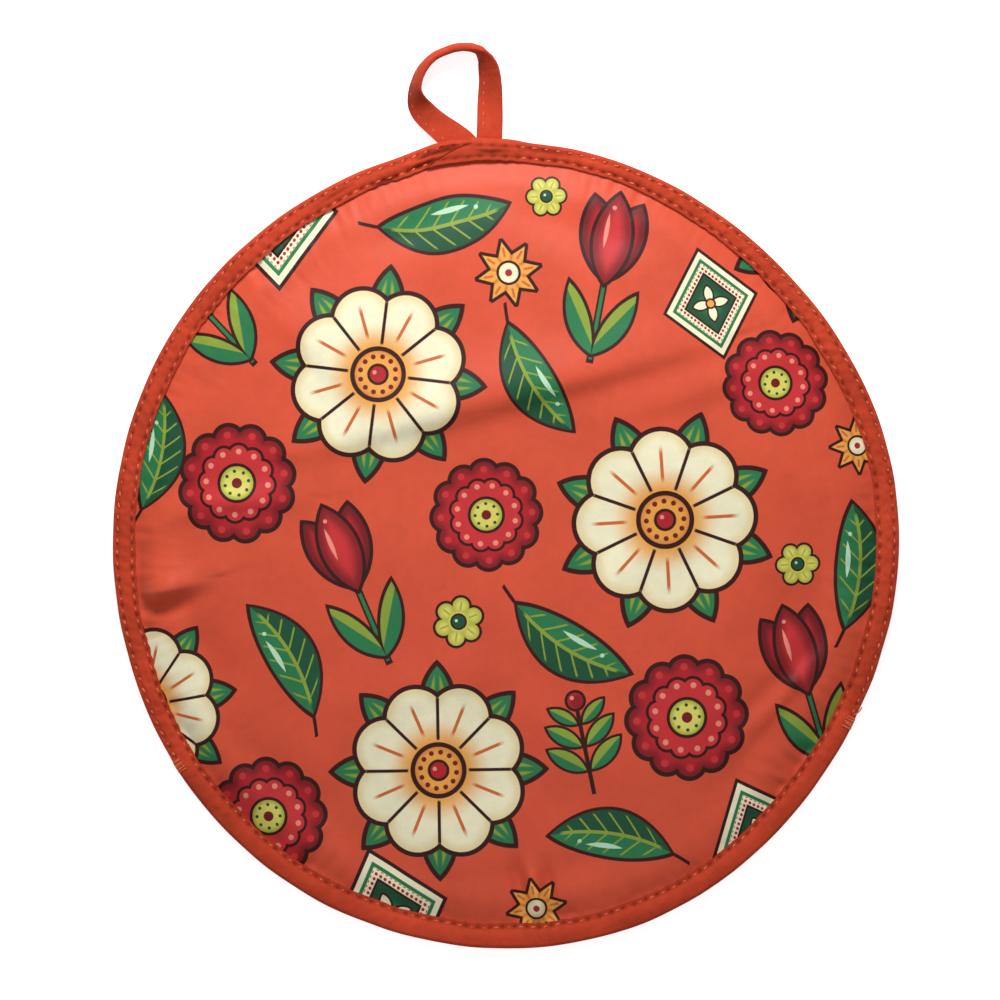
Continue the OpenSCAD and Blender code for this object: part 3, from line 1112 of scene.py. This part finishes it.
def paintLeaf(brush, x, y):
    y = y - (x * x) * 0.006 + 3
    body = almond(x, y, 31, 12)
    stem = abs(y).most(abs(x + 33) - 6) - 0.9
    brush.fill(stem, "outline")
    brush.shape(body, "green", 1.7)
    brush.tint(y.smooth(0.3, -0.3), "darkGreen")
    veins = ((x - abs(y) * 0.95) * 0.75).do("SINE")
    brush.tint(veins.smooth(0.86, 0.96) * body.smooth(-1.6, -2.6) * abs(x).smooth(24, 20), "leafLight")
    brush.tint(abs(y).smooth(0.95, 0.7) * abs(x).smooth(26, 23), "leafLight")
    brush.tint(almond(x - 3, y - 6.2, 9, 1.25).smooth(0.12, -0.12), "shine")
    brush.tint(length(x - 15.2, y - 4.6).smooth(1.15, 0.85), "shine")


def paintSprig(brush, x, y):
    brush.fill(abs(x).most(abs(y + 2) - 19) - 0.95, "outline")
    side = abs(x)
    for up, size in ((-11, 1.1), (0, 1), (10, 0.82)):
        lx, ly = turnedBy(side - 1, y - up, 38)
        leaf = almond(lx - 9 * size, ly, 9.5 * size, 3.9 * size)
        brush.shape(leaf, "green", 1.2)
        brush.tint(leaf.smooth(0, -0.3) * ly.smooth(-0.2, 0.2), "leafLight")
    brush.shape(length(x, y - 20.5) - 4.2, "red", 1.3)
    brush.tint(length(x - 1, y - 19.6).smooth(4.4, 2.2) * 0.6, "wine")
    brush.fill(length(x + 1.3, y - 22) - 0.95, "blush")


def paintTulip(brush, x, y):
    side = abs(x)
    brush.fill(side.most(abs(y + 17) - 18) - 1.5, "outline")
    brush.fill(side.most(abs(y + 17) - 17.2) - 0.7, "green")
    lx, ly = turnedBy(side, y + 33, 56)
    leaf = almond(lx - 15, ly - (lx * lx) * 0.004, 16, 5)
    brush.shape(leaf, "green", 1.4)
    brush.tint(leaf.smooth(0, -0.3) * ly.smooth(1.6, 2), "leafLight")
    lx, ly = turnedBy(side - 4.5, y - 13, 72)
    outer = almond(lx, ly, 18, 8)
    brush.shape(outer, "wine", 1.5)
    brush.tint((outer + 0.6).smooth(-1, -5), "red")
    middle = almond(y - 14, x, 19, 8.2)
    brush.shape(middle, "brightRed", 1.5)
    brush.tint((middle + 0.6).smooth(-6, -0.6) * 0.85, "wine")
    brush.tint(almond(y - 17, x + 2.8, 7, 0.9).smooth(0.12, -0.12), "blush")
    brush.tint(length(y - 26.5, x + 1.3).smooth(0.95, 0.7), "blush")


def paintTile(brush, x, y):
    away = ((abs(x) + abs(y) * 0.86) * 0.76) - 20
    brush.shape(away, "cream", 1.7)
    brush.tint(abs(away + 4.2).smooth(0.95, 0.7), "green")
    inner = away + 9
    dots = length((x + y * 0.86).do("PINGPONG", 3.05) - 1.5, (x - y * 0.86).do("PINGPONG", 3.05) - 1.5)
    band = abs(away + 6.7).smooth(1.6, 1.4)
    brush.tint(dots.smooth(1.15, 0.85) * band, "red")
    brush.shape(inner, "green", 1.2)
    brush.tint((inner + 1).smooth(-7, -1), "darkGreen")
    r, along, off, angle = petalFold(x, y, 4)
    brush.shape(almond(along - 5.2, off, 5.2, 2.7), "cream", 1)
    brush.shape(r - 2.5, "ochre", 1)


def paintStar(brush, x, y):
    r, along, off, angle = petalFold(x, y, 8)
    ray = ((along - 16.5) * 0.42 + off * 0.91).most(r - 15.6)
    brush.shape(ray, "ochre", 1.6)
    brush.tint(off.smooth(0.7, 0.45) * r.smooth(7, 8) * r.smooth(12.6, 11.4), "ochreShade")
    brush.tint((-(angle - math.pi / 8)).smooth(0.16, 0.05) * r.smooth(4, 7) * 0.7, "ochreShade")
    brush.shape(r - 5.2, "cream", 1.2)
    brush.tint(r.smooth(3, 5) * 0.7, "creamShade")
    brush.fill(r - 1.7, "red")


def paintDaisy(brush, x, y):
    r, along, off, angle = petalFold(x, y, 6)
    petal = (length(along - 8, off) - 4.8).least(r - 7)
    brush.shape(petal, "yellow", 1.4)
    brush.tint((petal + 0.5).smooth(-3.4, 0) * 0.8, "yellowShade")
    brush.tint(off.smooth(0.55, 0.35) * r.smooth(5, 6) * r.smooth(10.6, 9.6), "yellowShade")
    brush.shape(r - 3.7, "darkGreen", 1)
    brush.fill(length(x + 0.9, y - 0.9) - 0.8, "shine")


# where each motif is printed: x and y on the cloth, turn in degrees, size
layout = [
    (paintFlower, [(-44, 68, 12, 1), (62, 6, 0, 1.04), (-30, -84, 20, 1), (132, 116, 0, 0.95),
                   (-143, -54, 30, 0.9)]),
    (paintTulip, [(-58, -10, 20, 0.95), (45, 101, -14, 0.95), (113, -60, 14, 0.95),
                  (-112, 100, 40, 0.9)]),
    (paintRosette, [(-6, 12, 0, 0.88), (-101, 30, 8, 0.95), (66, -70, 0, 0.98), (108, 56, 4, 0.84),
                    (-96, -98, 0, 0.92)]),
    (paintLeaf, [(23, -39, -35, 0.84), (-86, -38, 118, 0.8), (16, 62, -62, 0.78), (34, -114, 168, 0.78),
                 (134, -16, 84, 0.8), (-15, 124, 6, 0.82), (-132, 44, 76, 0.74)]),
    (paintTile, [(-52, -138, 14, 0.85), (85, 88, 10, 0.7), (-80, 131, 0, 0.9), (92, -118, 20, 0.78)]),
    (paintSprig, [(26, -78, 8, 0.85), (150, -60, -30, 0.8)]),
    (paintStar, [(8, 103, 10, 0.8), (138, 30, 0, 0.7), (4, -138, 8, 0.72)]),
    (paintDaisy, [(-19, -28, 18, 0.76), (112, -14, 0, 0.66), (24, 131, 0, 0.6)]),
]


def printGroup():
    # every motif is drawn once, at the nearest of the places where it is printed
    tree, enter, leave = makeGroup("printedMotifs", {"Place": "v", "Ground": "c"}, {"Colour": "c"})
    colour = enter.outputs["Ground"]
    for draw, places in layout:
        motif, motifIn, motifOut = makeGroup(draw.__name__, {"Place": "v"},
                                             {"Colour": "c", "Mask": "n"})
        brush = Brush(motif)
        draw(brush, *split(motif, motifIn.outputs["Place"]))
        feed(motif, motifOut, {"Colour": brush.colour, "Mask": brush.mask})
        nearest, nearestAway = None, None
        for x, y, turn, size in places:
            sockets = {"Vector": enter.outputs["Place"], "Location": (x, y, 0),
                       "Rotation": (0, 0, math.radians(turn)), "Scale": (size, size, 1)}
            local = addNode(tree, "Mapping", sockets, vector_type="TEXTURE").outputs["Vector"]
            away = length(*split(tree, local))
            if nearest is None:
                nearest, nearestAway = local, away
                continue
            closer = away.do("LESS_THAN", nearestAway)
            either = {0: closer, 4: nearest, 5: local}
            nearest = addNode(tree, "Mix", either, data_type="VECTOR").outputs[1]
            nearestAway = away.least(nearestAway)
        drawn = useGroup(tree, motif, Place=nearest)
        colour = mixed(tree, drawn.outputs["Mask"], colour, drawn.outputs["Colour"])
    feed(tree, leave, {"Colour": colour})
    return tree


# materials

def weaveGroup():
    # threads over and under each other: a height for the bump and a light and dark for the colour
    tree, enter, leave = makeGroup("clothWeave", {"Place": "v", "Pitch": "n", "Slant": "n"},
                                   {"Height": "n", "Shade": "n"})
    x, y = split(tree, enter.outputs["Place"])
    pitch, slant = Num(tree, enter.outputs["Pitch"]), Num(tree, enter.outputs["Slant"])
    a = (x + y * slant).do("DIVIDE", pitch) * (2 * math.pi)
    b = (y - x * slant).do("DIVIDE", pitch) * (2 * math.pi)
    height = a.do("SINE") * b.do("SINE") * 0.5 + 0.5
    streak = noiseNode(tree, enter.outputs["Place"], 1.1, 3, 0.6)
    feed(tree, leave, {"Height": height * 0.75 + streak * 0.5, "Shade": height * 0.35 + streak * 0.65})
    return tree


def clothMaterial(name, base, look):
    # a cloth with its weave, small creases, uneven dye, a soft sheen and, where its look asks, painted
    # shade;
    # base is a colour, or a function that adds a print
    material = bpy.data.materials.new(name)
    material.use_nodes = True
    tree = material.node_tree
    shader = tree.nodes["Principled BSDF"]
    flat = addNode(tree, "UVMap", {}, uv_map="cloth").outputs["UV"]
    here = addNode(tree, "VectorMath", {0: flat, "Scale": 1 / mm}, operation="SCALE").outputs["Vector"]
    weave = useGroup(tree, groups["weave"], Place=here, Pitch=look["pitch"], Slant=look["slant"])
    dye = noiseNode(tree, here, 0.035, 3, 0.55)
    small = noiseNode(tree, here, 0.24, 3, 0.6)
    mottle, crease = look.get("mottle", 1), look.get("crease", 0.35)
    tone = (Num(tree, weave.outputs["Shade"]) - 0.5) * look["shade"]
    tone = tone + (dye - 0.5) * (0.22 * mottle) + (small - 0.5) * (0.1 * mottle)
    bright = (tone * 1.6 + 0.99).least(1 + 0.1 * mottle)
    # painted shade: the point's attribute darkens the colour in seams, creases and on turned-away tape
    if "paintedShade" in look:
        mark = addNode(tree, "Attribute", {}, attribute_name="paintedShade")
        bright = bright * (Num(tree, mark.outputs["Fac"]) * -look["paintedShade"] + 1)
    colour = base(tree, here) if callable(base) else base[:3]
    toned = addNode(tree, "VectorMath", {0: colour, "Scale": bright}, operation="SCALE")
    height = Num(tree, weave.outputs["Height"]) * 0.12 + small * crease
    height = height + noiseNode(tree, here, 0.9, 2) * crease * 0.22
    sockets = {"Height": height, "Strength": look["relief"], "Distance": 0.8 * mm}
    relief = addNode(tree, "Bump", sockets)
    feed(tree, shader, {
        "Base Color": toned.outputs["Vector"],
        "Normal": relief.outputs["Normal"],
        "Roughness": dye * 0.16 + small * 0.12 + (look["rough"] - 0.14),
        "Specular IOR Level": look["specular"],
        "Sheen Weight": look["sheen"],
        "Sheen Roughness": 0.4,
        "Sheen Tint": (1, 0.8, 0.7, 1),
    })
    return material


def dress(piece, material):
    piece.data.materials.clear()
    piece.data.materials.append(material)
    return piece


groups = {"weave": weaveGroup(), "print": printGroup()}


def printedBase(turn, shift):
    def base(tree, here):
        sockets = {"Vector": here, "Rotation": (0, 0, math.radians(turn)), "Location": (*shift, 0)}
        place = addNode(tree, "Mapping", sockets).outputs["Vector"]
        return useGroup(tree, groups["print"], Place=place, Ground=inks["ground"]).outputs["Colour"]
    return base


# weave pitch in mm, weave slant, relief of the weave, its light and dark, size of small creases,
# painted shade in seams, creases and on turned-away tape, and unevenness of the dye ("mottle")
looks = {
    "print": {"rough": 0.47, "specular": 0.22, "sheen": 0.12, "pitch": 0.5, "slant": 0, "relief": 0.3,
              "shade": 0.1},
    "lining": {"rough": 0.85, "specular": 0.2, "sheen": 0.15, "pitch": 0.6, "slant": 0, "relief": 0.5,
               "shade": 0.16},
    "padding": {"rough": 0.95, "specular": 0.1, "sheen": 0.5, "pitch": 3.1, "slant": 0.4, "relief": 0.9,
                "shade": 0.1, "crease": 1.2},
    "tape": {"rough": 0.72, "specular": 0.04, "sheen": 0.04, "pitch": 0.55, "slant": 1, "relief": 0.45,
             "shade": 0.26, "crease": 0.6, "paintedShade": 0.66, "mottle": 2.4},
    "thread": {"rough": 0.6, "specular": 0.16, "sheen": 0.05, "pitch": 0.6, "slant": 0.7, "relief": 0.4,
               "shade": 0.3},
}
finish = {
    "frontPrint": clothMaterial("printed_satin_front", printedBase(0, (0, 0)), looks["print"]),
    "backPrint": clothMaterial("printed_satin_back", printedBase(64, (11, -17)), looks["print"]),
    "lining": clothMaterial("cotton_lining", hexColour("EFE7D2"), looks["lining"]),
    "padding": clothMaterial("polyester_batting", hexColour("F2F0EA"), looks["padding"]),
    "tape": clothMaterial("bias_tape_satin", hexColour("C4452C"), looks["tape"]),
    "thread": clothMaterial("polyester_thread", hexColour("E2704C"), looks["thread"]),
}


# the pieces

print("padding: " + ("cloth simulation"))
puffed = simulatePuff()

print("front disc")


def followLip(piece):
    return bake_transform(piece)


frontCover = discSheet("front_cover_cloth", frontTop, 1)
thicken(dress(frontCover, finish["frontPrint"]), disc["cloth"])
followLip(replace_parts(frontCover, "front_cover", "front_cover_lip"))


def liningUnder(r, angle):
    inward = innerEdge(angle) - r
    gather = roundNoise(angle, 9, 0, 10) * 0.5 * math.exp(-max(inward, 0) / 12)
    high = frontLiningLow(r) + gather * ease(inward / 3) + rise(r * math.sin(angle))
    return min(high, frontTop(r, angle) - panel["liningRoom"]) if inward > 0 else high


frontLining = discSheet("front_lining_cloth", liningUnder, -1, panel["plainSectors"], 2)
thicken(dress(frontLining, finish["lining"]), disc["lining"])
followLip(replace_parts(frontLining, "front_lining", "front_lining_lip"))


def padTop(r, angle):
    room = frontTop(r, angle) - disc["cloth"] - panel["padRoom"]
    return max(room, padLow(r, angle) + panel["padLeast"])


def padLow(r, angle):
    return liningUnder(r, angle) + disc["lining"] + 0.12


frontPad = padPiece("front_padding", padLow, padTop, panel["padEdge"])
followLip(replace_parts(dress(frontPad, finish["padding"]), "front_batting", "front_batting_lip"))

frontTapePiece = bindingPiece("front_binding_tape", frontTape[0].z, binding["sectors"])
followLip(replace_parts(dress(frontTapePiece, finish["tape"]), "front_binding", "front_binding_lip"))

ownRow = binding["innerRow"]
allRound = stitchRow("front_binding_stitches", rowTurns, onFrontTape(ownRow), 0, 2 * math.pi, 1)
dress(allRound, finish["thread"])
followLip(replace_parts(allRound, "front_binding_thread", "front_binding_thread_lip"))

print("back disc")


def squeezed(r):
    # 1 at the rim, where the seam draws the disc flat, and 0 further in
    return ease((r - disc["drawnFrom"]) / disc["drawnWidth"])


def backHeight(r, angle):
    inward = innerEdge(angle) - r
    fine = abs(noise.noise((r * math.cos(angle) / 20, r * math.sin(angle) / 20, 5))) * 0.35
    gathers = abs(roundNoise(angle, 8, 0, 11)) * 0.9 * math.exp(-max(inward, 0) / 7)
    return 0.9 * squeezed(r) + (fine + gathers) * ease(inward / 4)


def backLiningHigh(r, angle):
    return backPadHigh(r, angle) + disc["lining"] + 0.1 - 0.1 * squeezed(r)


def backPadLow(r, angle):
    return backHeight(r, angle) + disc["cloth"] + 0.1


def backPadHigh(r, angle):
    return disc["backPad"] - disc["backDrawn"] * squeezed(r)


backCover = discSheet("back_cover_cloth", backHeight, -1, panel["plainSectors"])
thicken(dress(backCover, finish["backPrint"]), disc["cloth"])
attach(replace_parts(backCover, "back_cover"), "pouch")
backLining = discSheet("back_lining_cloth", backLiningHigh, 1, panel["plainSectors"], 2)
thicken(dress(backLining, finish["lining"]), disc["lining"])
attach(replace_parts(backLining, "back_lining"), "pouch")
backPad = padPiece("back_padding", backPadLow, backPadHigh, panel["padEdge"])
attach(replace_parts(dress(backPad, finish["padding"]), "back_batting"), "pouch")
backTapePiece = bindingPiece("back_binding_tape", backTape[0].z, binding["backSectors"],
                             upsideDown=True)
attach(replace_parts(dress(backTapePiece, finish["tape"]), "back_binding"), "pouch")
backRow = stitchRow("back_binding_stitches", rowTurns, underBackTape(ownRow), 0, 2 * math.pi, -1)
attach(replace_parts(dress(backRow, finish["thread"]), "back_binding_thread"), "pouch")

print("seam")
leftEnd = math.radians(-90 - disc["mouthHalf"])
rightEnd = math.radians(-90 + disc["mouthHalf"])
seamCount = round((2 * math.pi - math.radians(2 * disc["mouthHalf"])) * disc["rim"] / binding["pitch"])
seamEnd = leftEnd + 2 * math.pi
needleRow = stitchRow("needle_row", seamCount, outerSpot(onFrontTape), rightEnd, seamEnd, 1)
bobbinRow = stitchRow("bobbin_row", seamCount, outerSpot(underBackTape), rightEnd, seamEnd, -1)
bpy.ops.object.select_all(action="DESELECT")
needleRow.select_set(True)
bobbinRow.select_set(True)
bpy.context.view_layer.objects.active = needleRow
bpy.ops.object.join()
needleRow.name = "seam_stitches"
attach(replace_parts(dress(needleRow, finish["thread"]), "joining_thread"), "pouch")
leftTack = threadTube("left_tack_threads", tackLines(leftEnd, 1), tack["thick"])
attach(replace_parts(dress(leftTack, finish["thread"]), "left_bar_tack"), "pouch")
tailRoute = ((-1.2, 0.008, 7.1), (-0.2, 0.014, 6.1), (0.5, 0.024, 5), (0.7, 0.034, 4.2))
tail = [(*polar(disc["rim"] + out, rightEnd + on), z) for out, on, z in tailRoute]
rightTack = threadTube("right_tack_threads", tackLines(rightEnd, -1) + [tail], tack["thick"])
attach(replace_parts(dress(rightTack, finish["thread"]), "right_bar_tack"), "pouch")

print("hanging loop")
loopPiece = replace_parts(dress(hangingLoop(), finish["tape"]), "hanging_loop", "loop_ends")
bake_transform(loopPiece)
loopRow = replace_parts(dress(loopStitches(), finish["thread"]), "loop_thread")
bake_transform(loopRow)

slots = {
    "printed_fabric": [frontCover, backCover],
    "lining_fabric": [frontLining, backLining],
    "batting": [frontPad, backPad],
    "binding_tape": [frontTapePiece, backTapePiece, loopPiece],
    "thread": [allRound, backRow, needleRow, leftTack, rightTack, loopRow],
}
for slot, pieces in slots.items():
    for piece in pieces:
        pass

loopFlat = (2 * loopTape["width"] * mm, loopLengths()[-1] * mm)

# camera, floor and light

print("camera and light")
view = {
    "floor": -0.0006,            # just under the warmer, in metres, as are the next two
    "height": 1.5,               # of the camera
    "focus": 0.008,              # height at which a pixel is as wide as in the photograph
    "pixels": 1000,
    "sensor": 36,
}
turn = math.radians(photo["turn"])
offX = (view["pixels"] / 2 - photo["centre"][0]) * pixel * mm
offY = (photo["centre"][1] - view["pixels"] / 2) * pixel * mm
camera = bpy.data.cameras.new("camera")
camera.sensor_width = view["sensor"]
camera.lens = view["sensor"] * (view["height"] - view["focus"]) / (view["pixels"] * pixel * mm)
cameraObject = bpy.data.objects.new("camera", camera)
cameraObject.location = (offX * math.cos(turn) + offY * math.sin(turn),
                         offY * math.cos(turn) - offX * math.sin(turn), view["height"])
cameraObject.rotation_euler = (0, 0, -turn)
scene.collection.objects.link(cameraObject)
scene.camera = cameraObject
scene.view_settings.view_transform = "Standard"

floorMesh = bmesh.new()
bmesh.ops.create_grid(floorMesh, x_segments=8, y_segments=8, size=3)
bmesh.ops.translate(floorMesh, verts=floorMesh.verts, vec=(0, 0, view["floor"]))
floor = finishMesh("floor", floorMesh)


def plainlySeen(tree, kinds):
    # 1 for the rays that see the floor or the room as plain white
    rays = tree.nodes.new("ShaderNodeLightPath")
    seen = Num(tree, rays.outputs[kinds[0]])
    for kind in kinds[1:]:
        seen = seen.most(Num(tree, rays.outputs[kind]))
    return seen


floorPaint = bpy.data.materials.new("white_floor")
floorPaint.use_nodes = True
tree = floorPaint.node_tree
seen = plainlySeen(tree, ("Is Camera Ray", "Is Glossy Ray", "Is Transmission Ray"))
feed(tree, tree.nodes["Principled BSDF"], {
    "Base Color": (0.85, 0.85, 0.85, 1),
    "Roughness": 0.9,
    "Specular IOR Level": 0.1,
    "Emission Color": (1, 1, 1, 1),
    "Emission Strength": seen * 0.75,
})
floor.data.materials.append(floorPaint)

world = bpy.data.worlds.new("room")
scene.world = world
world.use_nodes = True
tree = world.node_tree
seen = plainlySeen(tree, ("Is Camera Ray", "Is Transmission Ray"))
feed(tree, tree.nodes["Background"], {"Color": (1, 1, 1, 1), "Strength": seen * 0.73 + 0.27})

lamps = {
    # place, size, watts: the window side is past the loop, so the disc darkens towards the mouth
    "window": ((0.0, 0.56, 0.44), 0.3, 4.5),
    "fill": ((-0.1, -0.25, 1.2), 1.1, 1.7),
}
for name, (place, size, watts) in lamps.items():
    lamp = bpy.data.lights.new(name, "AREA")
    lamp.shape = "DISK"
    lamp.size = size
    lamp.energy = watts
    lampObject = bpy.data.objects.new(name, lamp)
    lampObject.location = place
    lampObject.rotation_euler = (-Vector(place)).to_track_quat("-Z", "Y").to_euler()
    scene.collection.objects.link(lampObject)
